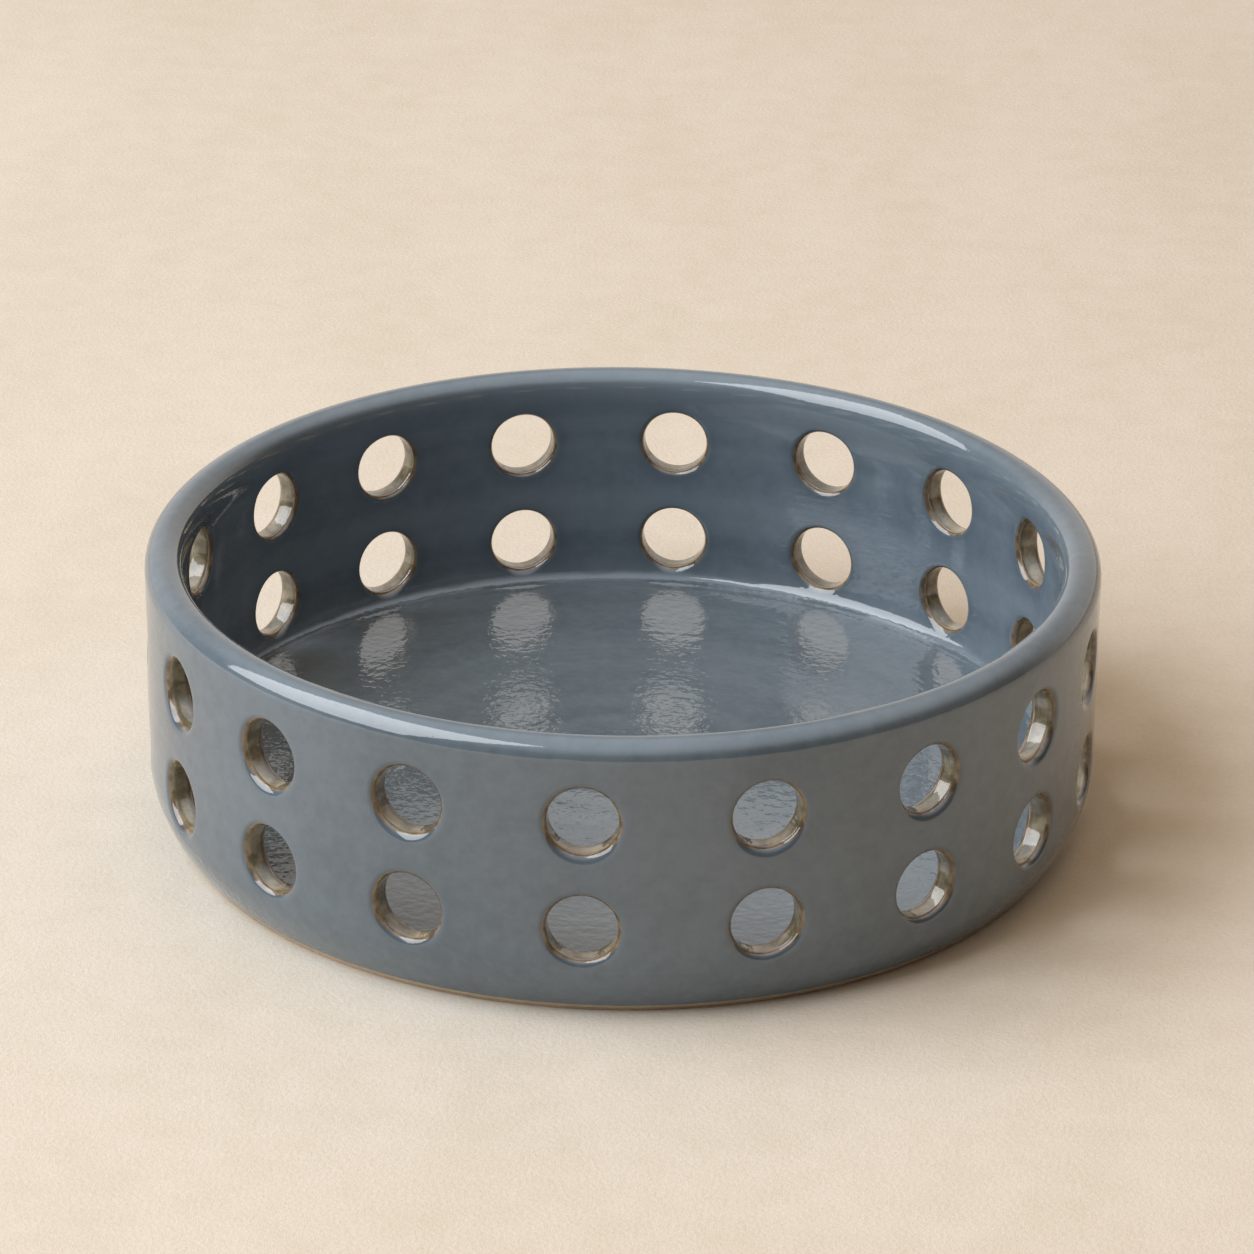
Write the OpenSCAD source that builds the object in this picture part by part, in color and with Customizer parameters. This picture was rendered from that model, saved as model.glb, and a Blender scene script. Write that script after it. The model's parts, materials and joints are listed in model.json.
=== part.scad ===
// Low drum-shaped serving bowl in glazed stoneware, pierced by two rows of round holes.
// Built as a potter builds it: floor slab, foot ring, pierced wall, cove coil and rim coil
// in clay, then an outside coat, a liner coat and thin bore linings in glaze.
// Millimetres, +Z up, origin on the table under the middle of the bowl.

/* [Bowl] */
// Diameter over the rim
rim_d = 290; // [240:5:340]
// Height from the table to the top of the rim
bowl_h = 89; // [86:1:110]
// Thickness of the clay wall
wall_t = 7.6; // [7:0.2:9]
// Thickness of the fired glaze coat
glaze_t = 0.5; // [0.3:0.1:0.6]
// Radius of the outer half of the rounded rim
rim_out_r = 7; // [4:0.2:7]

/* [Floor and foot] */
// Height of the finished inside floor above the table
floor_z = 15.4; // [13:0.2:15.4]
// Thickness of the clay floor slab
floor_t = 8.5; // [7:0.5:9]
// Radius of the cove between the inside floor and the wall
cove_r = 5.5; // [2.5:0.5:5.5]
// Radius of the rounded lower edge of the wall
heel_r = 34; // [30:0.5:36]
// Angle that the rounded lower edge turns through
heel_turn = 42; // [38:1:44]
// Width of the ring that the bowl stands on
foot_w = 15; // [10:1:25]
// Height of the bare clay band at the bottom edge
bare_h = 1.2; // [0.8:0.1:1.4]

/* [Holes] */
// Number of hole columns round the wall
columns = 18; // [14:1:20]
// Diameter of the finished holes
hole_d = 20.6; // [16:0.2:20.6]
// Width of the softened lip round each hole
lip_w = 1.7; // [1.2:0.1:1.7]
// Height of the lower row of hole centres
lower_row_z = 30.2; // [30.2:0.2:32]
// Height of the upper row of hole centres
upper_row_z = 64.2; // [62:0.2:66]
// Furthest that the hand-set columns drift towards the +X side, in degrees
column_drift = 3.3; // [0:0.1:4]
// How far the front and back columns are set over towards the +X side, in degrees
column_shift = 1.3; // [0:0.1:2]

/* [Hidden] */
$fn = 96;

clay_colour = "#b08a63";
glaze_colour = "#5d6b78";
lining_colour = "#a3957c";

// Radii of the finished wall and of the clay under the glaze
out_r = rim_d / 2;
clay_out_r = out_r - glaze_t;
clay_in_r = clay_out_r - wall_t;
in_r = clay_in_r - glaze_t;
// The two rim arcs meet at the crest
crest_r = out_r - rim_out_r;
rim_in_r = crest_r - in_r;
// Depth of the scored seats that the coils are pressed into
seat = 1;
// The slab runs under the wall's foot by the depth of a seat
slab_r = clay_in_r + seat;
slab_top = floor_z - glaze_t;
slab_bottom = slab_top - floor_t;
// Centre height of the heel arc, and the radius where it ends above the foot
heel_z = bare_h + heel_r * sin(heel_turn);
foot_r = out_r - heel_r * (1 - cos(heel_turn)) - glaze_t;
foot_chamfer = 0.6;
// The rim coil starts halfway between the upper holes' lips and the rim's arcs
rim_z = (upper_row_z + hole_d / 2 + lip_w + bowl_h - rim_out_r) / 2;
// Overlap of cutting shapes past the faces that they cut
past = 3;

// Angle of column k about +Z: even steps from the front (-Y), crowded a little towards +X
function column_turn(k) = k * 360 / columns;
function column_angle(k) = -90 + column_turn(k)
    + column_drift * sin(2 * column_turn(k)) * (1 + sin(column_turn(k))) / 2
    + column_shift * cos(column_turn(k));

// Everything inside the bowl's outside surface, moved inwards by the skin, as a half profile
module outside_profile(skin) {
    translate([0, heel_z]) square([out_r - skin, bowl_h - rim_out_r - heel_z]);
    translate([0, bare_h]) square([out_r - heel_r, heel_z - bare_h]);
    intersection() {
        translate([out_r - heel_r, heel_z]) circle(heel_r - skin);
        translate([out_r - heel_r, bare_h]) square([heel_r, heel_z - bare_h]);
    }
    translate([0, bowl_h - rim_out_r]) square([crest_r, rim_out_r - skin]);
    intersection() {
        translate([crest_r, bowl_h - rim_out_r]) circle(rim_out_r - skin);
        translate([crest_r, bowl_h - rim_out_r]) square(rim_out_r);
    }
}

// The hollow inside the bowl up to the rim's crest, grown by the skin, as a half profile
module hollow_profile(skin) {
    cove_z = floor_z + cove_r;
    translate([0, cove_z]) square([in_r + skin, bowl_h - rim_in_r - cove_z]);
    translate([0, floor_z - skin]) square([in_r - cove_r, cove_r + skin]);
    intersection() {
        translate([in_r - cove_r, cove_z]) circle(cove_r + skin);
        translate([in_r - cove_r, floor_z - skin]) square(cove_r + skin);
    }
    difference() {
        translate([0, bowl_h - rim_in_r]) square([crest_r, rim_in_r]);
        translate([crest_r, bowl_h - rim_in_r]) circle(rim_in_r - skin);
    }
}

// One hole, softened at both ends by 45 degree lips, grown by the skin, along its own Z from the bowl's axis
module flared_hole(skin) {
    bore = hole_d / 2 + skin;
    // A lip moved sideways by the skin starts this much sooner along the bore
    sooner = skin * (sqrt(2) - 1);
    outer_start = out_r - lip_w - sooner;
    inner_start = in_r + lip_w + sooner;
    outer_end = out_r + past;
    inner_end = in_r - past;
    rotate_extrude() polygon([
        [0, inner_end],
        [bore + inner_start - inner_end, inner_end],
        [bore, inner_start],
        [bore, outer_start],
        [bore + outer_end - outer_start, outer_end],
        [0, outer_end]
    ]);
}

// A ring of holes at one height
module hole_row(row_z, skin) {
    for (k = [0 : columns - 1])
        rotate([0, 0, column_angle(k)]) translate([0, 0, row_z]) rotate([0, 90, 0]) flared_hole(skin);
}

// Both rows of holes as the clay and the coats are cut for them
module all_holes() {
    hole_row(lower_row_z, glaze_t);
    hole_row(upper_row_z, glaze_t);
}

// Disc of clay with a rebate round its top edge for the cove coil
module floor_slab() {
    color(clay_colour) rotate_extrude() polygon([
        [0, slab_bottom],
        [slab_r, slab_bottom],
        [slab_r, slab_top - seat],
        [in_r - cove_r, slab_top - seat],
        [in_r - cove_r, slab_top],
        [0, slab_top]
    ]);
}

// Turned foot under the slab, with its bare clay band below the glaze line
module foot_ring() {
    color(clay_colour) rotate_extrude() {
        intersection() {
            outside_profile(glaze_t);
            translate([foot_r - foot_w, bare_h]) square([foot_w + heel_r, slab_bottom - bare_h]);
        }
        polygon([
            [foot_r - foot_w, foot_chamfer],
            [foot_r - foot_w + foot_chamfer, 0],
            [foot_r - foot_chamfer, 0],
            [foot_r, foot_chamfer],
            [foot_r, bare_h],
            [foot_r - foot_w, bare_h]
        ]);
    }
}

// Clay wall from the foot to the rim coil, stepped at the bottom for the slab and the cove coil
module pierced_wall() {
    color(clay_colour) difference() {
        rotate_extrude() intersection() {
            outside_profile(glaze_t);
            union() {
                translate([slab_r, slab_bottom]) square([heel_r, rim_z - slab_bottom]);
                translate([clay_in_r, floor_z + cove_r]) square([heel_r, rim_z - floor_z - cove_r]);
            }
        }
        all_holes();
    }
}

// Coil of clay smeared into the inside corner, its upper edge cut by the lower holes
module cove_coil() {
    color(clay_colour) difference() {
        rotate_extrude() difference() {
            translate([in_r - cove_r, slab_top - seat])
                square([slab_r - in_r + cove_r, floor_z + cove_r - slab_top + seat]);
            translate([in_r - cove_r, floor_z + cove_r]) circle(cove_r + glaze_t);
        }
        hole_row(lower_row_z, glaze_t);
    }
}

// Rounded coil that finishes the wall
module rim_coil() {
    color(clay_colour) rotate_extrude() difference() {
        intersection() {
            outside_profile(glaze_t);
            translate([clay_in_r, rim_z]) square([wall_t, bowl_h - rim_z]);
        }
        hollow_profile(glaze_t);
    }
}

// Coat on the outside, from the glaze line above the foot up to the crest of the rim
module outer_glaze() {
    color(glaze_colour) difference() {
        rotate_extrude() difference() {
            outside_profile(0);
            outside_profile(glaze_t);
            translate([0, rim_z]) square([crest_r, bowl_h]);
        }
        all_holes();
    }
}

// Coat on the inside, from the crest of the rim down the wall and over the floor
module liner_glaze() {
    color(glaze_colour) difference() {
        rotate_extrude() difference() {
            hollow_profile(glaze_t);
            hollow_profile(0);
        }
        all_holes();
    }
}

// Thin flared linings of one row of holes
module bore_linings(row_z) {
    intersection() {
        difference() {
            hole_row(row_z, glaze_t);
            hole_row(row_z, 0);
        }
        rotate_extrude() difference() {
            outside_profile(0);
            hollow_profile(0);
        }
    }
}

// Linings of the upper holes, as a group
module upper_bore_glaze() {
    color(lining_colour) bore_linings(upper_row_z);
}

// Linings of the lower holes, as a group
module lower_bore_glaze() {
    color(lining_colour) bore_linings(lower_row_z);
}

floor_slab();
foot_ring();
pierced_wall();
cove_coil();
rim_coil();
outer_glaze();
liner_glaze();
upper_bore_glaze();
lower_bore_glaze();
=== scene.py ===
"""Looks of the pierced serving bowl: glaze coats, bore linings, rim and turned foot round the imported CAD.

Laid out as an add-on and run as a script. Metres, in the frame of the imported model: +Z up and the foot
on z = 0.
"""

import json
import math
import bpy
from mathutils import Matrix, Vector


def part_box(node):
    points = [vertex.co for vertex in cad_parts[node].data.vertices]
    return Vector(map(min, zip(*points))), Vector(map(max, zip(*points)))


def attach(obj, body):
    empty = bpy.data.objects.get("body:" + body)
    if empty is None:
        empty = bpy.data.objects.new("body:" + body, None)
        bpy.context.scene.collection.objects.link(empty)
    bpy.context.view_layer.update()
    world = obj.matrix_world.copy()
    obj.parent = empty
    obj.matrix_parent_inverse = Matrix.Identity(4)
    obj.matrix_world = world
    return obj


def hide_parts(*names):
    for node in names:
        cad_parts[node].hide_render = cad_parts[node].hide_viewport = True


bl_info = {
    "name": "Pierced Serving Bowl",
    "version": (1, 0, 0),
    "blender": (4, 5, 0),
    "location": "3D View > Sidebar > Bowl",
    "description": "Models the glaze, the hole linings and the turned foot of a pierced stoneware bowl",
    "category": "Add Mesh",
}

import bmesh
import bpy
from bpy.props import FloatProperty, FloatVectorProperty, IntProperty, PointerProperty
from mathutils import Matrix, Vector

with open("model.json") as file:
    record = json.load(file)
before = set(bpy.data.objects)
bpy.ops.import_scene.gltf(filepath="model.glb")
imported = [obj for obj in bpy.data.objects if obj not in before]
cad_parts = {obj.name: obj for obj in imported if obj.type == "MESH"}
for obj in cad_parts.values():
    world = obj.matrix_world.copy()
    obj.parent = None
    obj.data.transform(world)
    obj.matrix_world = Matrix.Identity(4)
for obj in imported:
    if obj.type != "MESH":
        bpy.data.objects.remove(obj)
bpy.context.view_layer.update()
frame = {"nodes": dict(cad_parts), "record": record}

BODY = "root"

# Values that the meshes carry for their materials
HALO = "halo"
GLAZE_BREAK = "glaze_break"
BORE_DEPTH = "bore_depth"

# Numbers of steps in the meshes
HOLE_SIDES = 48
CELL_ACROSS = 14
CELL_UP = 10
CELL_RINGS = 4
HEEL_STEPS = 14
WALL_STEPS = 3
RIM_STEPS = 18
SWELL_STEPS = 6
BEAD_STEPS = 16
COVE_STEPS = 8
FLOOR_STEPS = 9
LIP_STEPS = 8
FOOT_STEPS = 6
COIL_STEPS = 12
RING_STEPS = 252
SMOOTH_ANGLE = math.radians(35)

# Points closer than this are merged
MERGE_GAP = 1e-6
# Wall left plain above and below the pair of holes before the panel's strips start
CELL_MARGIN = 0.0024
COVE_MARGIN = 0.0010
# Narrow last strips that keep the shading true at the rim's crest and at the floor's edge
CREST_STRIP = 0.0001
FLOOR_STRIP = 0.0003
# Part of the floor's radius that its rings cover before they close on the middle
FLOOR_REACH = 0.9
# Parts of the wall's thickness where a bore has its rings
BORE_RINGS = (0.50, 0.60, 0.70)
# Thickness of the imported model's glaze, which the clay foot lies behind
PACKED_GLAZE = 0.0005
# Angles of the foot's sponged edges
EDGE_TURNS = (math.radians(30), math.radians(60), math.radians(90))

# How far from a hole the coats pool
HALO_REACH = 0.005
# Angles round a lip where the glaze starts and ends its break, how much later both come below the hole,
# and the span of the break on an inner lip
BREAK_START = math.radians(34)
BREAK_END = math.radians(64)
BREAK_DELAY = math.radians(20)
INNER_BREAK = math.radians(40)
# Break and pool that a bore carries all through, and the least and most that an outer lip pools
BORE_BREAK = 3.0
BORE_POOL = 0.9
LIP_POOL = (0.1, 0.7)

GLAZE_IOR = 1.72
# Height over which the glaze wears to tan above its lower edge, and how ragged that line is
THIN_EDGE = 0.0012
RAGGED_EDGE = 0.0006
# How far the throwing rings wander
RING_WANDER = 0.004
# Radii where the painted light that makes the liner paler ends, and heights where it grows and where the
# floor's ripples end
LINER_EDGE = (0.1360, 0.1385)
LINER_RISE = (0.0156, 0.0400)
FLOOR_RISE = (0.0156, 0.0175)

# How far the room's light on matt surfaces leans towards +X and +Y
ROOM_LEAN = (-0.08, 0.15)
STAGE_SIZE = 8
SENSOR_WIDTH = 36

mount_heights = {mount["name"]: mount["pos_m"][2] for mount in frame["record"]["mounts"]}
outer_low, outer_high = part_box("outer_glaze")
coil_low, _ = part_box("rim_coil")
_, foot_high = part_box("foot_ring")


class BowlSizes(bpy.types.PropertyGroup):
    """Sizes of the bowl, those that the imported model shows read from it"""

    rim_radius: FloatProperty(
        name="Rim radius", description="Radius over the finished wall",
        default=round(outer_high.y, 4), unit="LENGTH")
    height: FloatProperty(
        name="Height", description="Height of the rim's crest above the table",
        default=outer_high.z, unit="LENGTH")
    crest_radius: FloatProperty(
        name="Crest radius", description="Radius of the rim's highest line, where the two coats meet",
        default=0.1388, unit="LENGTH")
    bead_radius: FloatProperty(
        name="Bead radius", description="Radius of the rim's rounding inside its crest",
        default=0.0052, unit="LENGTH")
    bead_foot: FloatProperty(
        name="Bead foot", description="Height where the inside wall starts to swell towards the rim",
        default=0.0700, unit="LENGTH")
    wall: FloatProperty(
        name="Wall", description="Thickness of the wall, glaze included",
        default=0.0086, unit="LENGTH")
    glaze: FloatProperty(
        name="Glaze", description="Thickness of the glaze coats and linings",
        default=0.00045, unit="LENGTH")
    glaze_line: FloatProperty(
        name="Glaze line", description="Height where the outside coat ends above the bare foot",
        default=outer_low.z, unit="LENGTH")
    heel_radius: FloatProperty(
        name="Heel radius", description="Radius of the rounded lower edge of the wall",
        default=0.034, unit="LENGTH")
    heel_turn: FloatProperty(
        name="Heel turn", description="Angle that the rounded lower edge turns through",
        default=math.radians(42), unit="ROTATION")
    floor_height: FloatProperty(
        name="Floor height", description="Height of the inside floor above the table",
        default=mount_heights["inside_floor"], unit="LENGTH")
    cove_radius: FloatProperty(
        name="Cove radius", description="Radius of the cove between the inside floor and the wall",
        default=0.0055, unit="LENGTH")
    columns: IntProperty(
        name="Columns", description="Number of hole columns round the wall", default=18)
    drift: FloatProperty(
        name="Column drift", description="Furthest that the hand-set columns drift towards +X",
        default=math.radians(3.3), unit="ROTATION")
    shift: FloatProperty(
        name="Column shift", description="How far the front and back columns are set over towards +X",
        default=math.radians(1.3), unit="ROTATION")
    lower_row: FloatProperty(
        name="Lower row", description="Height of the lower hole centres",
        default=0.0302, unit="LENGTH")
    upper_row: FloatProperty(
        name="Upper row", description="Height of the upper hole centres",
        default=0.0642, unit="LENGTH")
    hole_radius: FloatProperty(
        name="Hole radius", description="Radius of the finished bores",
        default=0.0103, unit="LENGTH")
    lip_radius: FloatProperty(
        name="Lip radius", description="Radius of the rounded outer lips at the sides of the holes",
        default=0.0027, unit="LENGTH")
    lip_spread: FloatProperty(
        name="Lip spread", description="Part by which the outer lips are wider below than at the sides",
        default=0.30)
    inner_lip_radius: FloatProperty(
        name="Inner lip radius", description="Radius of the rounded lips inside the bowl",
        default=0.0020, unit="LENGTH")
    lip_margin: FloatProperty(
        name="Lip margin", description="Width of the lining's flat edge round each lip",
        default=0.0004, unit="LENGTH")
    foot_width: FloatProperty(
        name="Foot width", description="Width of the ring that the bowl stands on",
        default=0.015, unit="LENGTH")
    foot_edge: FloatProperty(
        name="Foot edge", description="Radius of the foot's sponged edges",
        default=0.0006, unit="LENGTH")


class BowlColours(bpy.types.PropertyGroup):
    """Colours of the glaze, the clay, the stage and its light"""

    glaze_deep: FloatVectorProperty(
        name="Deep glaze", description="Glaze where it lies thick",
        default=(0.086, 0.121, 0.154), subtype="COLOR")
    glaze_pale: FloatVectorProperty(
        name="Pale glaze", description="Glaze where it lies thin on the open wall",
        default=(0.140, 0.184, 0.226), subtype="COLOR")
    lip_amber: FloatVectorProperty(
        name="Lip amber", description="Glaze broken thin over the lips of the holes",
        default=(0.240, 0.178, 0.106), subtype="COLOR")
    lip_brown: FloatVectorProperty(
        name="Lip brown", description="Darker streaks of the broken glaze",
        default=(0.088, 0.064, 0.038), subtype="COLOR")
    bore_cream: FloatVectorProperty(
        name="Bore cream", description="Thin glaze over pale clay inside the bores",
        default=(0.340, 0.300, 0.215), subtype="COLOR")
    bore_olive: FloatVectorProperty(
        name="Bore olive", description="Thicker glaze inside the bores",
        default=(0.140, 0.124, 0.078), subtype="COLOR")
    edge_cream: FloatVectorProperty(
        name="Edge cream", description="Glaze worn thinnest, at the bores' inner ends and the glaze line",
        default=(0.540, 0.440, 0.310), subtype="COLOR")
    # Painted light: this pale blue is mixed into the glaze inside the bowl to light up the inside, more so
    # up the wall
    liner_painted_light: FloatVectorProperty(
        name="Liner painted light", description="Paler glaze that settled inside the bowl",
        default=(0.270, 0.340, 0.390), subtype="COLOR")
    bare_clay: FloatVectorProperty(
        name="Bare clay", description="Unglazed clay of the foot and the underside",
        default=(0.560, 0.400, 0.260), subtype="COLOR")
    stage_paper: FloatVectorProperty(
        name="Stage", description="Warm pale floor that the bowl stands on",
        default=(0.725, 0.700, 0.640), subtype="COLOR")
    room_warm: FloatVectorProperty(
        name="Warm room", description="Light from overhead on matt surfaces",
        default=(0.870, 0.580, 0.348), subtype="COLOR")
    room_cool: FloatVectorProperty(
        name="Cool room", description="Light from overhead in the gloss",
        default=(1.380, 1.560, 1.750), subtype="COLOR")
    backdrop: FloatVectorProperty(
        name="Backdrop", description="Light from the backdrop in the gloss",
        default=(0.900, 0.860, 0.820), subtype="COLOR")
    room_dark: FloatVectorProperty(
        name="Dark room", description="Light from the front of the room, low down",
        default=(0.040, 0.042, 0.045), subtype="COLOR")
    key_light: FloatVectorProperty(
        name="Key light", description="Light of the soft box",
        default=(0.92, 0.94, 0.97), subtype="COLOR")


class BowlView(bpy.types.PropertyGroup):
    """Camera of the photograph and the soft box of the stage"""

    azimuth: FloatProperty(
        name="Azimuth", description="Turn of the camera from the front towards +X",
        default=math.radians(5.551), unit="ROTATION")
    elevation: FloatProperty(
        name="Elevation", description="Height of the camera above the horizon",
        default=math.radians(24.477), unit="ROTATION")
    distance: FloatProperty(
        name="Distance", description="From the camera to its target", default=1.801, unit="LENGTH")
    target_height: FloatProperty(
        name="Target height", description="Height of the camera's target", default=0.0599, unit="LENGTH")
    target_side: FloatProperty(
        name="Target side", description="Sideways place of the camera's target",
        default=0.0014, unit="LENGTH")
    roll: FloatProperty(
        name="Roll", description="Tilt of the camera about its view", default=math.radians(0.606),
        unit="ROTATION")
    lens: FloatProperty(
        name="Lens", description="Focal length on a 36 mm wide sensor", default=169.3, unit="CAMERA")
    key_turn: FloatProperty(
        name="Key turn", description="Turn of the soft box from the camera's side towards the left",
        default=math.radians(76), unit="ROTATION")
    key_elevation: FloatProperty(
        name="Key elevation", description="Height of the soft box above the horizon",
        default=math.radians(42.5), unit="ROTATION")
    key_distance: FloatProperty(
        name="Key distance", description="From the bowl to the soft box", default=3.2, unit="LENGTH")
    key_width: FloatProperty(
        name="Key width", description="Width of the soft box", default=3.3, unit="LENGTH")
    key_tall: FloatProperty(
        name="Key tall", description="Height of the soft box", default=3.2, unit="LENGTH")
    key_power: FloatProperty(
        name="Key power", description="Power of the soft box", default=147.0, unit="POWER")


class BowlShape:
    """Radii, heights and angles that follow from the sizes"""

    def __init__(self, sizes):
        self.sizes = sizes
        self.out_r = sizes.rim_radius
        self.in_r = sizes.rim_radius - sizes.wall
        self.rim_out = self.out_r - sizes.crest_radius
        self.rim_in = sizes.bead_radius
        self.rim_out_z = sizes.height - self.rim_out
        self.rim_in_z = sizes.height - self.rim_in
        self.bead = self.in_r - (sizes.crest_radius - self.rim_in)
        self.heel_z = sizes.glaze_line + sizes.heel_radius * math.sin(sizes.heel_turn)
        self.cove_z = sizes.floor_height + sizes.cove_radius
        self.rows = (sizes.lower_row, sizes.upper_row)
        self.outer_lip = sizes.hole_radius + sizes.lip_radius
        self.inner_lip = sizes.hole_radius + sizes.inner_lip_radius
        self.outer_opening = self.outer_lip + sizes.lip_radius * sizes.lip_spread + sizes.lip_margin
        self.inner_opening = self.inner_lip + sizes.lip_margin
        self.outside_start = self.heel_z - sizes.heel_radius * sizes.heel_turn
        self.outside_end = self.rim_out_z + self.rim_out * math.pi / 2
        self.liner_end = self.rim_in_z + self.rim_in * math.pi / 2
        self.cove_end = self.cove_z - sizes.cove_radius * math.pi / 2
        self.liner_start = self.cove_end - (self.in_r - sizes.cove_radius)

    def column_angle(self, k):
        """Angle of column k about +Z: even steps from the front, crowded a little towards +X"""
        turn = 2 * math.pi * k / self.sizes.columns
        drift = self.sizes.drift * math.sin(2 * turn) * (1 + math.sin(turn)) / 2
        return turn - math.pi / 2 + drift + self.sizes.shift * math.cos(turn)

    def half_turns(self, k):
        """Angles from column k to the middles of the gaps on its two sides"""
        here = self.column_angle(k)
        return (self.column_angle(k + 1) - here) / 2, (here - self.column_angle(k - 1)) / 2

    def outside_point(self, s):
        """Radius and height of the outside coat at s, its path length counted as height on the wall"""
        if s < self.heel_z:
            a = (self.heel_z - s) / self.sizes.heel_radius
            return (self.out_r - self.sizes.heel_radius * (1 - math.cos(a)),
                    self.heel_z - self.sizes.heel_radius * math.sin(a))
        if s > self.rim_out_z:
            a = (s - self.rim_out_z) / self.rim_out
            return (self.sizes.crest_radius + self.rim_out * math.cos(a),
                    self.rim_out_z + self.rim_out * math.sin(a))
        return self.out_r, s

    def liner_point(self, s):
        """Radius and height of the liner coat at s, its path length counted as height on the wall"""
        if s > self.rim_in_z:
            a = (s - self.rim_in_z) / self.rim_in
            return (self.sizes.crest_radius - self.rim_in * math.cos(a),
                    self.rim_in_z + self.rim_in * math.sin(a))
        if s < self.cove_end:
            return max(0.0, s - self.liner_start), self.sizes.floor_height
        if s < self.cove_z:
            a = (self.cove_z - s) / self.sizes.cove_radius
            return (self.in_r - self.sizes.cove_radius * (1 - math.cos(a)),
                    self.cove_z - self.sizes.cove_radius * math.sin(a))
        rise = max(0.0, (s - self.sizes.bead_foot) / (self.rim_in_z - self.sizes.bead_foot))
        return self.in_r - self.bead * (1 - math.cos(math.pi * rise)) / 2, s

    def through_wall(self, x, s, part):
        """Point x across and s up column zero at +X, part of the way from the outside face inwards"""
        faces = []
        for face_r, (r, z) in ((self.out_r, self.outside_point(s)), (self.in_r, self.liner_point(s))):
            turn = math.asin(x / face_r)
            faces.append(Vector((r * math.cos(turn), r * math.sin(turn), z)))
        return faces[0].lerp(faces[1], part)

    def panel_turn(self, x, radius, opening, half_width, k):
        """Angle of a flat panel's x from its column: true to size round the hole, stretched beyond it"""
        edge = min(abs(x), opening)
        turn = math.asin(edge / radius)
        if abs(x) > edge:
            left_over = (abs(x) - edge) / (half_width - edge)
            ahead, behind = self.half_turns(k)
            turn += ((ahead if x > 0 else behind) - turn) * left_over
        return math.copysign(turn, x)


def settle_selection():
    """Leave edit mode and deselect everything"""
    if bpy.context.mode != "OBJECT":
        bpy.ops.object.mode_set(mode="OBJECT")
    bpy.ops.object.select_all(action="DESELECT")


def work_on(piece):
    """Make one object the only selected and the active one"""
    settle_selection()
    piece.select_set(True)
    bpy.context.view_layer.objects.active = piece


def pick_edges(piece, wanted):
    """In edit mode, select the edges whose two points both pass the test"""
    bpy.ops.mesh.select_mode(type="EDGE")
    mesh = bmesh.from_edit_mesh(piece.data)
    for edge in mesh.edges:
        edge.select_set(all(wanted(point.co) for point in edge.verts))
    bmesh.update_edit_mesh(piece.data)


def join_pieces(pieces, name):
    """Join objects into one and merge the points where they meet"""
    settle_selection()
    for piece in pieces:
        piece.select_set(True)
    bpy.context.view_layer.objects.active = pieces[0]
    bpy.ops.object.join()
    joined = bpy.context.view_layer.objects.active
    joined.name = name
    joined.data.name = name
    bpy.ops.object.mode_set(mode="EDIT")
    bpy.ops.mesh.select_all(action="SELECT")
    bpy.ops.mesh.remove_doubles(threshold=MERGE_GAP)
    bpy.ops.object.mode_set(mode="OBJECT")
    return joined


def copy_piece(piece):
    """A linked-in copy of an object with its own mesh"""
    twin = piece.copy()
    twin.data = piece.data.copy()
    bpy.context.scene.collection.objects.link(twin)
    return twin


def scrap(piece):
    """Remove a template object and its mesh"""
    mesh = piece.data
    bpy.data.objects.remove(piece)
    bpy.data.meshes.remove(mesh)


def thicken(piece, thickness):
    """Give a skin its thickness behind the face that shows, and smooth it"""
    work_on(piece)
    skin = piece.modifiers.new("thickness", "SOLIDIFY")
    skin.thickness = thickness
    skin.offset = -1
    skin.use_even_offset = True
    bpy.ops.object.modifier_apply(modifier=skin.name)
    bpy.ops.object.shade_smooth_by_angle(angle=SMOOTH_ANGLE)


def face_panel(piece, outwards):
    """Turn all of a flat panel's faces to +Z, or to -Z for the inside of the bowl"""
    bpy.ops.mesh.select_all(action="SELECT")
    bpy.ops.mesh.normals_make_consistent(inside=False)
    mesh = bmesh.from_edit_mesh(piece.data)
    if (sum(face.normal.z for face in mesh.faces) > 0) != outwards:
        bpy.ops.mesh.flip_normals()


def model_cell(half_width, low, high, hole_height, opening):
    """A flat rectangle of wall round one hole: a grid's border bridged to a circle"""
    settle_selection()
    bpy.ops.mesh.primitive_grid_add(
        x_subdivisions=CELL_ACROSS, y_subdivisions=CELL_UP, size=1, enter_editmode=True)
    cell = bpy.context.object
    bpy.ops.transform.resize(value=(2 * half_width, high - low, 1), center_override=(0, 0, 0))
    bpy.ops.transform.translate(value=(0, (low + high) / 2, 0))
    bpy.ops.mesh.region_to_loop()
    bpy.ops.mesh.select_mode(type="VERT")
    bpy.ops.mesh.select_all(action="INVERT")
    bpy.ops.mesh.delete(type="VERT")
    bpy.ops.mesh.primitive_circle_add(vertices=HOLE_SIDES, radius=opening, location=(0, hole_height, 0))
    bpy.ops.mesh.select_mode(type="EDGE")
    bpy.ops.mesh.select_all(action="SELECT")
    bpy.ops.mesh.bridge_edge_loops(number_cuts=CELL_RINGS, interpolation="LINEAR")
    bpy.ops.object.mode_set(mode="OBJECT")
    return cell


def extend_panel(panel, start, stops):
    """Extrude the panel's border at height start to each of the stops in turn"""
    pick_edges(panel, lambda point: abs(point.y - start) < MERGE_GAP)
    here = start
    for stop in stops:
        bpy.ops.mesh.extrude_edges_move(TRANSFORM_OT_translate={"value": (0, stop - here, 0)})
        here = stop


def even_stops(start, end, steps):
    """Heights that lead from start to end in even steps, without start itself"""
    return [start + (end - start) * (i + 1) / steps for i in range(steps)]


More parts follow.
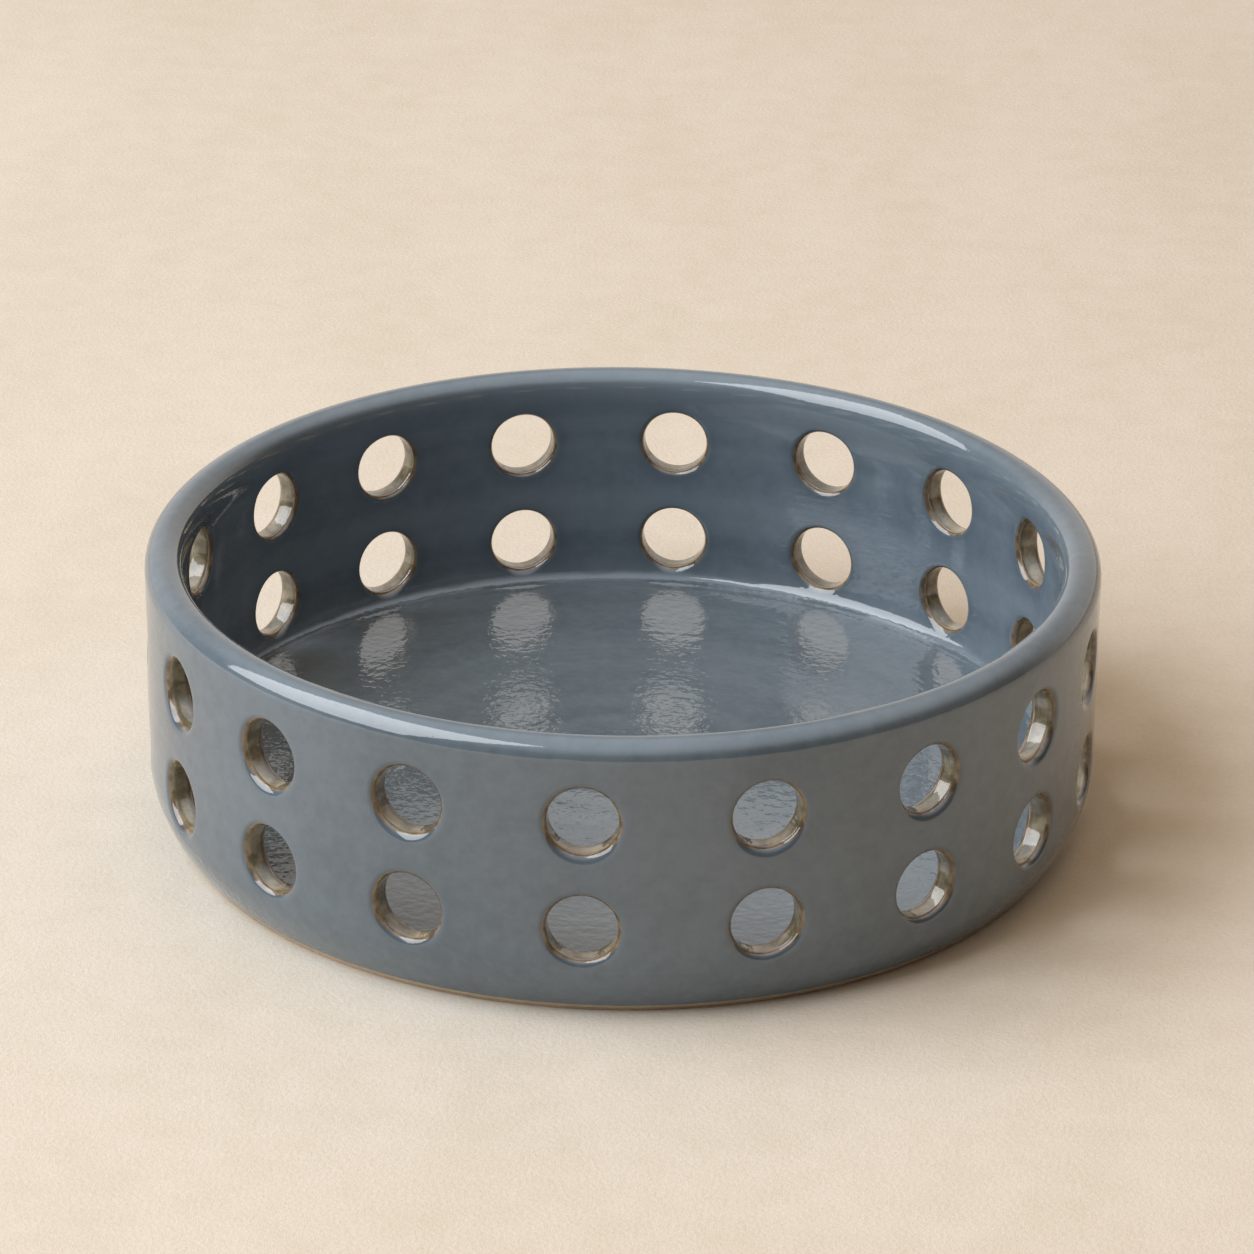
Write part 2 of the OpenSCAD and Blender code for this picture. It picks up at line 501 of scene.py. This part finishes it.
def model_panel(shape, half_width, borders, opening, down_stops, up_stops, halo_depth, outwards):
    """One column's flat panel: x across, y along the profile, with its two holes and plain strips"""
    cells = []
    for hole_height, low, high in zip(shape.rows, borders, borders[1:]):
        cells.append(model_cell(half_width, low, high, hole_height, opening))
    panel = join_pieces(cells, "panel")
    bpy.ops.object.mode_set(mode="EDIT")
    extend_panel(panel, borders[0], down_stops)
    extend_panel(panel, borders[-1], up_stops)
    face_panel(panel, outwards)
    bpy.ops.object.mode_set(mode="OBJECT")
    halo = panel.data.attributes.new(HALO, "FLOAT", "POINT")
    for point, value in zip(panel.data.vertices, halo.data):
        reach = min(math.hypot(point.co.x, point.co.y - row) for row in shape.rows) - opening
        value.value = halo_depth * max(0.0, 1 - reach / HALO_REACH) ** 2
    return panel


def roll_panels(shape, panel, half_width, radius, opening, profile, name):
    """Copy the flat panel to every column, roll the copies up and join them"""
    copies = []
    for k in range(shape.sizes.columns):
        twin = copy_piece(panel)
        for point in twin.data.vertices:
            x, s, _ = point.co
            turn = shape.column_angle(k) + shape.panel_turn(x, radius, opening, half_width, k)
            r, z = profile(s)
            point.co = (r * math.cos(turn), r * math.sin(turn), z)
        copies.append(twin)
    scrap(panel)
    return join_pieces(copies, name)


def set_material(piece, material):
    """Give an object one material"""
    piece.data.materials.clear()
    piece.data.materials.append(material)


def hand_in(piece, material, slot, *nodes):
    """Give a finished piece its material, hang it on the body and hide the imported parts that it stands in
    for
    """
    set_material(piece, material)
    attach(piece, BODY)
    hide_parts(*nodes)


class NodeSheet:
    """A node tree, with short calls to add nodes and to wire them"""

    def __init__(self, tree, output_kind):
        self.tree = tree
        self.tree.nodes.clear()
        self.output = self.tree.nodes.new("ShaderNode" + output_kind)

    def add(self, kind, inputs=None, **settings):
        """A new node with its settings and its inputs, each a value or another node's output"""
        node = self.tree.nodes.new("ShaderNode" + kind)
        for key, value in settings.items():
            setattr(node, key, value)
        for key, value in (inputs or {}).items():
            if isinstance(value, bpy.types.NodeSocket):
                self.tree.links.new(value, node.inputs[key])
            else:
                node.inputs[key].default_value = value
        return node

    def place(self):
        """Place on the piece, in metres"""
        return self.add("TexCoord").outputs["Object"]

    def height(self, place):
        """Height above the table"""
        return self.add("SeparateXYZ", {0: place}).outputs["Z"]

    def radius(self, place):
        """Distance from the bowl's axis"""
        flat = self.add("VectorMath", {0: place, 1: (1, 1, 0)}, operation="MULTIPLY").outputs[0]
        return self.add("VectorMath", {0: flat}, operation="LENGTH").outputs["Value"]

    def attribute(self, name):
        """A value that the mesh carries"""
        return self.add("Attribute", attribute_name=name).outputs["Fac"]

    def noise(self, vector, scale, detail=2.0, roughness=0.5):
        """Fine or coarse noise, from 0 to 1"""
        return self.add("TexNoise", {
            "Vector": vector, "Scale": scale, "Detail": detail, "Roughness": roughness}).outputs["Fac"]

    def sums(self, operation, first, second, clamp=False):
        """One step of arithmetic"""
        return self.add("Math", {0: first, 1: second}, operation=operation, use_clamp=clamp).outputs[0]

    def mixed(self, first, first_part, second):
        """Two values added, the first at its part and the second at the rest"""
        return self.sums("ADD", self.sums("MULTIPLY", first, first_part),
                         self.sums("MULTIPLY", second, 1 - first_part))

    def fade(self, value, start, end, low=0.0, high=1.0):
        """The value's way from start to end, eased, as low to high"""
        return self.add("MapRange", {
            "Value": value, "From Min": start, "From Max": end, "To Min": low, "To Max": high},
            interpolation_type="SMOOTHSTEP").outputs["Result"]

    def blend(self, factor, first, second):
        """Mix of two colours"""
        return self.add("Mix", {0: factor, 6: first, 7: second}, data_type="RGBA").outputs[2]

    def bump(self, height, distance, normal=None):
        """Relief of the height, in metres of distance, over another normal"""
        inputs = {"Height": height, "Distance": distance, "Strength": 1.0}
        if normal is not None:
            inputs["Normal"] = normal
        return self.add("Bump", inputs).outputs["Normal"]

    def finish(self, kind, **inputs):
        """The shader, with its sockets given by name, joined to the output"""
        named = {key.replace("_", " "): value for key, value in inputs.items()}
        shader = self.add(kind, named)
        self.tree.links.new(shader.outputs[0], self.output.inputs["Surface"])


def material_sheet(name):
    """Node sheet of a new material"""
    material = bpy.data.materials.new(name)
    material.use_nodes = True
    return NodeSheet(material.node_tree, "OutputMaterial")


def opaque(colour):
    """A colour with full alpha"""
    return (*colour, 1.0)


def thrown_rings(sheet, place):
    """Place across the potter's throwing rings: wandering radius and height"""
    wander = sheet.sums("MULTIPLY", sheet.noise(place, 25, 2), RING_WANDER)
    across = sheet.sums("ADD", sheet.radius(place), wander)
    up = sheet.sums("ADD", sheet.height(place), wander)
    return sheet.add("CombineXYZ", {0: across, 1: up}).outputs[0]


def glaze_tone(sheet, place, colours, pool):
    """Colour of the blue-grey glaze: faintly clouded and mottled, deeper where it pools, with painted light
    that makes the inside paler, more so up the wall and in bands
    """
    clouds = sheet.noise(place, 16, 3)
    mottle = sheet.noise(place, 190, 5, 0.65)
    open_wall = sheet.blend(sheet.fade(sheet.mixed(clouds, 0.55, mottle), 0.25, 0.70),
                            opaque(colours.glaze_deep), opaque(colours.glaze_pale))
    pooled = sheet.blend(pool, open_wall, opaque(colours.glaze_deep))
    # Painted light: the inside is mixed towards the pale liner colour, more so up the wall and in bands
    # along the throwing rings
    inside = sheet.fade(sheet.radius(place), *LINER_EDGE, 1.0, 0.0)
    paler = sheet.fade(sheet.height(place), *LINER_RISE, 0.10, 0.18)
    banded = sheet.fade(sheet.noise(thrown_rings(sheet, place), 75, 2), 0.33, 0.67, 0.3, 1.7)
    is_painted_light = sheet.sums("MULTIPLY", inside, sheet.sums("MULTIPLY", paler, banded))
    return sheet.blend(is_painted_light, pooled, opaque(colours.liner_painted_light))


def glaze_relief(sheet, place):
    """Relief of the glaze: soft swells, throwing rings, fine ripples, a puddled floor and pinholes"""
    swell = sheet.bump(sheet.noise(place, 20, 2), 0.00016)
    rings = thrown_rings(sheet, place)
    ridges = sheet.mixed(sheet.noise(rings, 75, 2), 0.8, sheet.noise(rings, 420, 2))
    thrown = sheet.bump(ridges, 0.000200, swell)
    rippled = sheet.bump(sheet.noise(place, 300, 2), 0.000030, thrown)
    on_floor = sheet.fade(sheet.height(place), *FLOOR_RISE, 1.0, 0.0)
    puddles = sheet.mixed(sheet.noise(rings, 210, 2), 0.2, sheet.noise(place, 330, 2))
    puddled = sheet.bump(sheet.sums("MULTIPLY", puddles, on_floor), 0.000270, rippled)
    cells = sheet.add("TexVoronoi", {"Vector": place, "Scale": 330.0}).outputs["Distance"]
    return sheet.bump(sheet.fade(cells, 0.04, 0.10), 0.000020, puddled)


def glaze_material(colours):
    """Blue-grey glaze of the coats, worn to a tan line at its lower edge"""
    sheet = material_sheet("blue glaze")
    place = sheet.place()
    tone = glaze_tone(sheet, place, colours, sheet.attribute(HALO))
    ragged = sheet.sums("MULTIPLY", sheet.noise(place, 250, 3), RAGGED_EDGE)
    edge = sheet.sums("SUBTRACT", sheet.height(place), ragged)
    line = outer_low.z + THIN_EDGE
    worn = sheet.fade(edge, line - RAGGED_EDGE, line, 1.0, 0.0)
    colour = sheet.blend(worn, tone, opaque(colours.edge_cream))
    roughness = sheet.fade(sheet.noise(place, 150, 3), 0.3, 0.7, 0.035, 0.070)
    sheet.finish("BsdfPrincipled", Base_Color=colour, Roughness=roughness, IOR=GLAZE_IOR,
                 Normal=glaze_relief(sheet, place))


def lining_material(colours):
    """Thin glaze of the bores: blue at the lip, broken to amber over its edge, olive and cream inside"""
    sheet = material_sheet("thin glaze")
    place = sheet.place()
    wander = sheet.sums("SUBTRACT", sheet.noise(place, 300, 3, 0.6), 0.5)
    broken = sheet.sums("ADD", sheet.attribute(GLAZE_BREAK), sheet.sums("MULTIPLY", wander, 0.35))
    depth = sheet.sums("ADD", sheet.attribute(BORE_DEPTH), sheet.sums("MULTIPLY", wander, 0.12))
    blue = glaze_tone(sheet, place, colours, sheet.attribute(HALO))
    amber = sheet.blend(sheet.fade(sheet.noise(place, 300, 3, 0.5), 0.36, 0.64, 0.0, 0.8),
                        opaque(colours.lip_amber), opaque(colours.lip_brown))
    streak = sheet.noise(place, 160, 4, 0.6)
    bore = sheet.blend(sheet.fade(streak, 0.35, 0.65),
                       opaque(colours.bore_cream), opaque(colours.bore_olive))
    bore = sheet.blend(sheet.fade(depth, 0.64, 0.74, 0.0, 0.6), bore, opaque(colours.lip_brown))
    bore = sheet.blend(sheet.fade(depth, 0.80, 0.84), bore, opaque(colours.edge_cream))
    lip = sheet.blend(sheet.fade(broken, -0.20, 0.15), blue, amber)
    colour = sheet.blend(sheet.fade(broken, 0.80, 1.20), lip, bore)
    roughness = sheet.fade(broken, 0.60, 1.20, 0.04, 0.08)
    sheet.finish("BsdfPrincipled", Base_Color=colour, Roughness=roughness, IOR=GLAZE_IOR,
                 Normal=glaze_relief(sheet, place))


def clay_material(colours):
    """Bare fired clay: matt and grainy, with faint turning rings"""
    sheet = material_sheet("bare clay")
    place = sheet.place()
    grain = sheet.noise(place, 1500, 4, 0.7)
    pale = Vector(colours.bare_clay) * 1.12
    dark = Vector(colours.bare_clay) * 0.78
    tone = sheet.fade(sheet.mixed(grain, 0.5, sheet.noise(place, 45, 3)), 0.35, 0.65)
    rings = sheet.add("TexWave", {"Vector": place, "Scale": 60.0, "Distortion": 1.2, "Detail": 2.0},
                      wave_type="RINGS", rings_direction="Z").outputs["Fac"]
    relief = sheet.bump(grain, 0.00010, sheet.bump(rings, 0.00012))
    sheet.finish("BsdfPrincipled", Base_Color=sheet.blend(tone, opaque(dark), opaque(pale)),
                 Roughness=0.85, Normal=relief)


def paper_material(colours):
    """Warm pale floor, faintly clouded and finely grained"""
    sheet = material_sheet("pale floor")
    place = sheet.place()
    drawn_out = sheet.add("VectorMath", {0: place, 1: (1.0, 0.4, 1.0)}, operation="MULTIPLY").outputs[0]
    clouds = sheet.mixed(sheet.noise(drawn_out, 14, 4, 0.6), 0.6, sheet.noise(place, 75, 3, 0.6))
    grain = sheet.noise(place, 620, 4, 0.7)
    shade = Vector(colours.stage_paper) * 0.90
    shade.z *= 0.95
    tone = sheet.fade(sheet.mixed(clouds, 0.6, grain), 0.35, 0.62)
    colour = sheet.blend(tone, opaque(shade), opaque(colours.stage_paper))
    sheet.finish("BsdfPrincipled", Base_Color=colour, Roughness=0.9, Normal=sheet.bump(grain, 0.00030))


class BOWL_OT_outside_coat(bpy.types.Operator):
    """Model the outside glaze coat, from the glaze line over the pierced wall to the rim's crest"""

    bl_idname = "bowl.outside_coat"
    bl_label = "Outside coat"

    def execute(self, context):
        shape = BowlShape(context.scene.bowl_sizes)
        half_width = shape.out_r * math.pi / shape.sizes.columns
        opening = shape.outer_opening
        low = shape.rows[0] - opening - CELL_MARGIN
        middle = sum(shape.rows) / 2
        high = shape.rows[1] + opening + CELL_MARGIN
        heel_stops = even_stops(low, shape.outside_start, HEEL_STEPS)
        rim_stops = [*even_stops(high, shape.rim_out_z, WALL_STEPS),
                     *even_stops(shape.rim_out_z, shape.outside_end - CREST_STRIP, RIM_STEPS),
                     shape.outside_end]
        panel = model_panel(shape, half_width, (low, middle, high), opening, heel_stops, rim_stops,
                            halo_depth=0.1, outwards=True)
        coat = roll_panels(shape, panel, half_width, shape.out_r, opening, shape.outside_point,
                           "outside_coat")
        thicken(coat, shape.sizes.glaze)
        hand_in(coat, shared_material("blue glaze"), "blue_glaze", "outer_glaze")
        return {"FINISHED"}


class BOWL_OT_liner_coat(bpy.types.Operator):
    """Model the inside glaze coat, from the rim's crest down the wall and over the floor"""

    bl_idname = "bowl.liner_coat"
    bl_label = "Liner coat"

    def execute(self, context):
        shape = BowlShape(context.scene.bowl_sizes)
        half_width = shape.in_r * math.pi / shape.sizes.columns
        opening = shape.inner_opening
        low = shape.rows[0] - opening - COVE_MARGIN
        middle = sum(shape.rows) / 2
        high = shape.rows[1] + opening + CELL_MARGIN
        floor_radius = shape.cove_end - shape.liner_start
        floor_edge = shape.cove_end - FLOOR_STRIP
        floor_stops = [*even_stops(low, shape.cove_end, COVE_STEPS), floor_edge,
                       *even_stops(floor_edge, shape.cove_end - FLOOR_REACH * floor_radius, FLOOR_STEPS),
                       shape.liner_start]
        rim_stops = [*even_stops(high, shape.rim_in_z, SWELL_STEPS),
                     *even_stops(shape.rim_in_z, shape.liner_end - CREST_STRIP, BEAD_STEPS),
                     shape.liner_end]
        panel = model_panel(shape, half_width, (low, middle, high), opening, floor_stops, rim_stops,
                            halo_depth=0.9, outwards=False)
        coat = roll_panels(shape, panel, half_width, shape.in_r, opening, shape.liner_point, "liner_coat")
        thicken(coat, shape.sizes.glaze)
        hand_in(coat, shared_material("blue glaze"), "blue_glaze", "liner_glaze")
        return {"FINISHED"}


def lip_rings(lip_radius, opening, hole_radius):
    """Rings of one rounded lip, from its flat margin into the bore: radius, depth and turn of the lip"""
    rings = [(opening, 0.0, 0.0)]
    for i in range(LIP_STEPS + 1):
        turn = math.pi / 2 * i / LIP_STEPS
        rings.append((hole_radius + lip_radius * (1 - math.sin(turn)),
                      lip_radius * (1 - math.cos(turn)), turn))
    return rings


def model_lining(shape):
    """One bore lining round the Z axis: a circle extruded ring by ring, its outside face at z = 0"""
    sizes = shape.sizes
    outer_lip = lip_rings(sizes.lip_radius, shape.outer_opening, sizes.hole_radius)
    inner_lip = lip_rings(sizes.inner_lip_radius, shape.inner_opening, sizes.hole_radius)
    path = [(r, depth) for r, depth, _ in outer_lip]
    path += [(sizes.hole_radius, sizes.wall * part) for part in BORE_RINGS]
    path += [(r, sizes.wall - depth) for r, depth, _ in reversed(inner_lip)]
    settle_selection()
    bpy.ops.mesh.primitive_circle_add(vertices=HOLE_SIDES, radius=path[0][0], enter_editmode=True)
    lining = bpy.context.object
    bpy.ops.mesh.select_mode(type="EDGE")
    for (r, depth), (next_r, next_depth) in zip(path, path[1:]):
        bpy.ops.mesh.extrude_edges_move(TRANSFORM_OT_translate={"value": (0, 0, depth - next_depth)})
        bpy.ops.transform.resize(value=(next_r / r, next_r / r, 1), center_override=(0, 0, 0))
    bpy.ops.mesh.select_all(action="SELECT")
    bpy.ops.mesh.normals_make_consistent(inside=False)
    mesh = bmesh.from_edit_mesh(lining.data)
    outwards = 0.0
    for face in mesh.faces:
        middle = face.calc_center_median()
        outwards += face.normal.dot(Vector((middle.x, middle.y, 0)))
    if outwards > 0:
        bpy.ops.mesh.flip_normals()
    bpy.ops.object.mode_set(mode="OBJECT")
    finish_lips(lining, shape, path, outer_lip, inner_lip)
    return lining


def finish_lips(lining, shape, path, outer_lip, inner_lip):
    """Widen the outer lip below, and mark where the glaze pools and breaks and how deep the bore is"""
    sizes = shape.sizes
    broken = lining.data.attributes.new(GLAZE_BREAK, "FLOAT", "POINT")
    depths = lining.data.attributes.new(BORE_DEPTH, "FLOAT", "POINT")
    halo = lining.data.attributes.new(HALO, "FLOAT", "POINT")
    inner_start = len(path) - len(inner_lip)
    for point in lining.data.vertices:
        r = math.hypot(point.co.x, point.co.y)
        depth = -point.co.z
        ring = min(range(len(path)), key=lambda i: math.hypot(path[i][0] - r, path[i][1] - depth))
        rise = point.co.y / r
        low = max(0.0, -rise) ** 2
        value = BORE_BREAK
        pool = BORE_POOL
        if ring < len(outer_lip):
            turn = outer_lip[ring][2]
            value = (turn - BREAK_START - BREAK_DELAY * low) / (BREAK_END - BREAK_START)
            pool = min(LIP_POOL[1], LIP_POOL[0] + turn)
        elif ring >= inner_start:
            turn = inner_lip[len(path) - 1 - ring][2]
            value = (turn - BREAK_START) / INNER_BREAK
        if 0 < ring < len(outer_lip):
            new_r = sizes.hole_radius + (r - sizes.hole_radius) * (1 + sizes.lip_spread * low)
            point.co = (point.co.x * new_r / r, point.co.y * new_r / r, point.co.z)
        broken.data[point.index].value = value
        halo.data[point.index].value = pool
        depths.data[point.index].value = depth / sizes.wall


class BOWL_OT_bore_linings(bpy.types.Operator):
    """Model the thin linings of both rows of holes, with their rounded lips"""

    bl_idname = "bowl.bore_linings"
    bl_label = "Bore linings"

    def execute(self, context):
        shape = BowlShape(context.scene.bowl_sizes)
        lining = model_lining(shape)
        rows = (("lower_bore_linings", shape.rows[0], "lower_bore_glaze"),
                ("upper_bore_linings", shape.rows[1], "upper_bore_glaze"))
        for name, row, node in rows:
            copies = []
            for k in range(shape.sizes.columns):
                twin = copy_piece(lining)
                turned = Matrix.Rotation(shape.column_angle(k), 3, "Z")
                for point in twin.data.vertices:
                    x, y, z = point.co
                    point.co = turned @ shape.through_wall(x, row + y, -z / shape.sizes.wall)
                copies.append(twin)
            linings = join_pieces(copies, name)
            thicken(linings, shape.sizes.glaze)
            hand_in(linings, shared_material("thin glaze"), "thin_glaze", node)
        scrap(lining)
        return {"FINISHED"}


def spin_ring(path, name):
    """A closed outline of radii and heights, drawn point by point and spun round the Z axis"""
    settle_selection()
    bpy.ops.mesh.primitive_circle_add(vertices=3, radius=0.001, enter_editmode=True)
    ring = bpy.context.object
    bpy.ops.mesh.select_mode(type="VERT")
    bpy.ops.mesh.select_all(action="SELECT")
    bpy.ops.mesh.merge(type="CENTER")
    bpy.ops.transform.translate(value=(path[0][0], 0, path[0][1]))
    for here, there in zip(path, path[1:] + path[:1]):
        bpy.ops.mesh.extrude_vertices_move(
            TRANSFORM_OT_translate={"value": (there[0] - here[0], 0, there[1] - here[1])})
    bpy.ops.mesh.select_all(action="SELECT")
    bpy.ops.mesh.remove_doubles(threshold=MERGE_GAP)
    bpy.ops.mesh.spin(steps=RING_STEPS, angle=2 * math.pi, center=(0, 0, 0), axis=(0, 0, 1))
    bpy.ops.mesh.select_all(action="SELECT")
    bpy.ops.mesh.remove_doubles(threshold=MERGE_GAP)
    bpy.ops.mesh.normals_make_consistent(inside=False)
    bpy.ops.object.mode_set(mode="OBJECT")
    ring.name = name
    ring.data.name = name
    bpy.ops.object.shade_smooth_by_angle(angle=SMOOTH_ANGLE)
    return ring


class BOWL_OT_turned_foot(bpy.types.Operator):
    """Model the turned foot ring with sponged edges and its bare band below the glaze"""

    bl_idname = "bowl.turned_foot"
    bl_label = "Turned foot"

    def execute(self, context):
        shape = BowlShape(context.scene.bowl_sizes)
        sizes = shape.sizes
        top = foot_high.z
        clay_heel = sizes.heel_radius - PACKED_GLAZE
        heel_centre = shape.out_r - sizes.heel_radius
        foot_r = heel_centre + sizes.heel_radius * math.cos(sizes.heel_turn) - PACKED_GLAZE
        inner_r = foot_r - sizes.foot_width
        heel = []
        for z in even_stops(sizes.glaze_line, top, FOOT_STEPS):
            heel.append((heel_centre + math.sqrt(clay_heel ** 2 - (shape.heel_z - z) ** 2), z))
        corner = []
        for a in EDGE_TURNS:
            corner.append((sizes.foot_edge * (1 - math.cos(a)), sizes.foot_edge * (1 - math.sin(a))))
        path = [(foot_r, sizes.glaze_line), (foot_r, sizes.foot_edge)]
        path += [(foot_r - inset, z) for inset, z in corner]
        path += [(inner_r + inset, z) for inset, z in reversed(corner)]
        path.append((inner_r, sizes.foot_edge))
        path += [(inner_r, top), *reversed(heel)]
        foot = spin_ring(path, "turned_foot")
        hand_in(foot, shared_material("bare clay"), "bare_clay", "foot_ring")
        return {"FINISHED"}


class BOWL_OT_rim_coil(bpy.types.Operator):
    """Model the clay coil of the rim just under the two coats"""

    bl_idname = "bowl.rim_coil"
    bl_label = "Rim coil"

    def execute(self, context):
        shape = BowlShape(context.scene.bowl_sizes)
        sizes = shape.sizes
        skin = sizes.glaze + MERGE_GAP
        path = [(shape.out_r - skin, coil_low.z)]
        for i in range(2 * COIL_STEPS + 1):
            a = math.pi / 2 * i / COIL_STEPS
            radius = shape.rim_out if i < COIL_STEPS else shape.rim_in
            path.append((sizes.crest_radius + (radius - skin) * math.cos(a),
                         sizes.height - radius + (radius - skin) * math.sin(a)))
        for s in even_stops(shape.rim_in_z, coil_low.z, WALL_STEPS):
            r, z = shape.liner_point(s)
            path.append((r + skin, z))
        coil = spin_ring(path, "rim_coil_round")
        hand_in(coil, shared_material("bare clay"), "bare_clay", "rim_coil")
        return {"FINISHED"}


class BOWL_OT_clay_body(bpy.types.Operator):
    """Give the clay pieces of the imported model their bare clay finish"""

    bl_idname = "bowl.clay_body"
    bl_label = "Clay body"

    def execute(self, context):
        for name in ("floor_slab", "pierced_wall", "cove_coil"):
            set_material(frame["nodes"][name], shared_material("bare clay"))
        return {"FINISHED"}


def light_room(colours):
    """World that is light overhead, warm on matt surfaces and cool in gloss, with a backdrop in the gloss"""
    world = bpy.data.worlds.new("room")
    world.use_nodes = True
    sheet = NodeSheet(world.node_tree, "OutputWorld")
    toward = sheet.add("TexCoord").outputs["Generated"]
    axes = sheet.add("SeparateXYZ", {0: toward}).outputs
    lean_x, lean_y = ROOM_LEAN
    leaning = sheet.sums("ADD", axes["Z"], sheet.sums("MULTIPLY", axes["Y"], lean_y))
    leaning = sheet.sums("ADD", leaning, sheet.sums("MULTIPLY", axes["X"], lean_x))
    path = sheet.add("LightPath")
    dark = opaque(colours.room_dark)
    matt = sheet.blend(sheet.fade(leaning, 0.32, 1.0), dark, opaque(colours.room_warm))
    overhead = sheet.blend(sheet.fade(axes["Z"], 0.30, 1.0), dark, opaque(colours.room_cool))
    backdrop = sheet.sums("MULTIPLY", sheet.fade(axes["Y"], 0.25, 0.75),
                          sheet.fade(axes["Z"], 0.35, 0.75, 1.0, 0.0))
    gloss = sheet.blend(backdrop, overhead, opaque(colours.backdrop))
    room = sheet.blend(path.outputs["Is Glossy Ray"], matt, gloss)
    seen = sheet.blend(path.outputs["Is Camera Ray"], room, opaque(colours.stage_paper))
    sheet.finish("Background", Color=seen, Strength=1.0)
    return world


class BOWL_OT_stage(bpy.types.Operator):
    """Set the pale floor, the soft box, the room's light and the camera"""

    bl_idname = "bowl.stage"
    bl_label = "Stage"

    def execute(self, context):
        scene = context.scene
        view = scene.bowl_view
        settle_selection()
        bpy.ops.mesh.primitive_plane_add(size=STAGE_SIZE, location=(0, 0, 0))
        floor = context.object
        floor.name = "stage_floor"
        set_material(floor, shared_material("pale floor"))

        scene.world = light_room(scene.bowl_colours)

        turn = view.azimuth - view.key_turn
        toward_key = Vector((math.sin(turn) * math.cos(view.key_elevation),
                             -math.cos(turn) * math.cos(view.key_elevation),
                             math.sin(view.key_elevation)))
        bpy.ops.object.light_add(type="AREA", location=toward_key * view.key_distance)
        key = context.object
        key.name = "soft_box"
        key.rotation_euler = toward_key.to_track_quat("Z", "Y").to_euler()
        key.data.shape = "RECTANGLE"
        key.data.size = view.key_width
        key.data.size_y = view.key_tall
        key.data.energy = view.key_power
        key.data.color = scene.bowl_colours.key_light

        back = Vector((math.sin(view.azimuth) * math.cos(view.elevation),
                       -math.cos(view.azimuth) * math.cos(view.elevation),
                       math.sin(view.elevation)))
        side = Vector((math.cos(view.azimuth), math.sin(view.azimuth), 0))
        up = back.cross(side)
        right = side * math.cos(view.roll) + up * math.sin(view.roll)
        above = up * math.cos(view.roll) - side * math.sin(view.roll)
        target = side * view.target_side + Vector((0, 0, view.target_height))
        placed = Matrix((right, above, back)).transposed().to_4x4()
        placed.translation = target + back * view.distance
        bpy.ops.object.camera_add()
        camera = context.object
        camera.name = "photo_camera"
        camera.matrix_world = placed
        camera.data.sensor_width = SENSOR_WIDTH
        camera.data.lens = view.lens
        scene.camera = camera

        scene.view_settings.view_transform = "Standard"
        return {"FINISHED"}


class BOWL_PT_pieces(bpy.types.Panel):
    """Lists the bowl's pieces in the sidebar"""

    bl_idname = "BOWL_PT_pieces"
    bl_label = "Pierced bowl"
    bl_space_type = "VIEW_3D"
    bl_region_type = "UI"
    bl_category = "Bowl"

    def draw(self, context):
        for operator in OPERATORS:
            self.layout.operator(operator.bl_idname)


MATERIAL_MAKERS = {
    "blue glaze": glaze_material,
    "thin glaze": lining_material,
    "bare clay": clay_material,
    "pale floor": paper_material,
}
GROUPS = (BowlSizes, BowlColours, BowlView)
OPERATORS = (
    BOWL_OT_outside_coat,
    BOWL_OT_liner_coat,
    BOWL_OT_bore_linings,
    BOWL_OT_turned_foot,
    BOWL_OT_rim_coil,
    BOWL_OT_clay_body,
    BOWL_OT_stage,
)


def shared_material(name):
    """The named material, made the first time that it is asked for"""
    if name not in bpy.data.materials:
        MATERIAL_MAKERS[name](bpy.context.scene.bowl_colours)
    return bpy.data.materials[name]


def register():
    for group in (*GROUPS, *OPERATORS, BOWL_PT_pieces):
        bpy.utils.register_class(group)
    bpy.types.Scene.bowl_sizes = PointerProperty(type=BowlSizes)
    bpy.types.Scene.bowl_colours = PointerProperty(type=BowlColours)
    bpy.types.Scene.bowl_view = PointerProperty(type=BowlView)


def unregister():
    del bpy.types.Scene.bowl_view
    del bpy.types.Scene.bowl_colours
    del bpy.types.Scene.bowl_sizes
    for group in (BOWL_PT_pieces, *reversed(OPERATORS), *reversed(GROUPS)):
        bpy.utils.unregister_class(group)


def main():
    register()
    bpy.ops.bowl.outside_coat()
    bpy.ops.bowl.liner_coat()
    bpy.ops.bowl.bore_linings()
    bpy.ops.bowl.turned_foot()
    bpy.ops.bowl.rim_coil()
    bpy.ops.bowl.clay_body()
    bpy.ops.bowl.stage()


if __name__ == "__main__":
    main()
